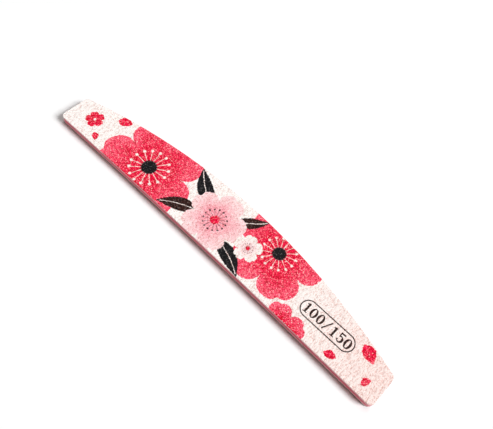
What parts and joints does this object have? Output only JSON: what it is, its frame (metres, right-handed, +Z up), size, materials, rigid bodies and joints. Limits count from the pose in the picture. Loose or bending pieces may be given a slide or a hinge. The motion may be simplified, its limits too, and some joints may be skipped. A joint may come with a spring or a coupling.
{
  "type": "nail file",
  "caption": "Half-moon laminated nail file: a stiff plastic board between foam pads, with a printed abrasive sheet on top and a plain grey one beneath.",
  "frame": {"origin": "centre of the footprint at the underside, on the surface that the file lies on", "axes": "+X along the file in the reading direction of its numbers, +Y across it towards the crowned edge, +Z up through the printed face"},
  "size_m": [0.178, 0.0284, 0.004],
  "materials": {
    "core_plastic": "satin, stamped edge",
    "foam": "matt, fine closed cells",
    "adhesive": "clear film, seen only as a hairline",
    "backing_paper": "matt, cut edge",
    "printed_grit": "rough grit in clear resin, printed",
    "grey_grit": "rough grey grit in clear resin"
  },
  "bodies": {
    "root": {"lower_grit_coat": "grey_grit", "lower_paper_backing": "backing_paper", "lower_paper_adhesive": "adhesive", "lower_foam_pad": "foam", "lower_core_adhesive": "adhesive", "core_board": "core_plastic", "upper_core_adhesive": "adhesive", "upper_foam_pad": "foam", "upper_paper_adhesive": "adhesive", "upper_paper_backing": "backing_paper", "upper_grit_coat": "printed_grit"}
  },
  "joints": []
}
